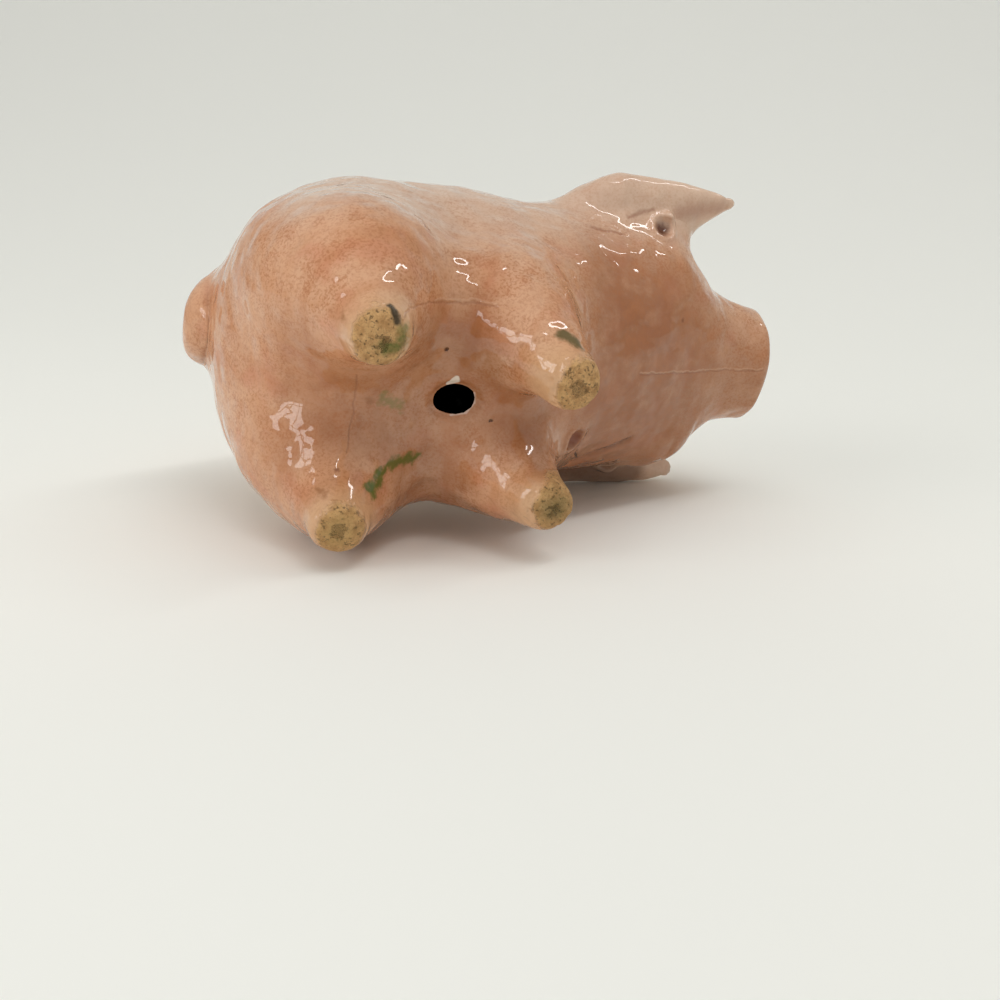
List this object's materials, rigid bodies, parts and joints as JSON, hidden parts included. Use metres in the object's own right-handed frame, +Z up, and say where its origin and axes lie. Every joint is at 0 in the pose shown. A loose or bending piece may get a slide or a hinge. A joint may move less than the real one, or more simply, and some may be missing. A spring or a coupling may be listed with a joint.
{
  "type": "pig figurine",
  "caption": "Hollow glazed earthenware pig standing on four short legs, with forward ears, a curled tail and a vent hole in its belly.",
  "frame": {"origin": "on the ground under the middle of the part's box, where the feet stand", "axes": "+X towards the snout, +Y to the pig's left, +Z up"},
  "size_m": [0.0618, 0.0356, 0.0405],
  "materials": {
    "body_glaze": "pink-tan mottled glaze, glossy",
    "belly_glaze": "pink-tan glaze with a browner wash, glossy",
    "leg_glaze": "tan glaze that stops at a bare, rough foot",
    "ear_glaze": "pink-tan glaze with a browner wash, glossy",
    "tail_glaze": "pink-tan mottled glaze, glossy"
  },
  "bodies": {
    "root": {"right_side_shell": "body_glaze", "left_side_shell": "body_glaze", "belly_panel": "belly_glaze", "front_right_leg": "leg_glaze", "front_left_leg": "leg_glaze", "hind_right_leg": "leg_glaze", "hind_left_leg": "leg_glaze", "right_ear": "ear_glaze", "left_ear": "ear_glaze", "tail": "tail_glaze"}
  },
  "joints": []
}
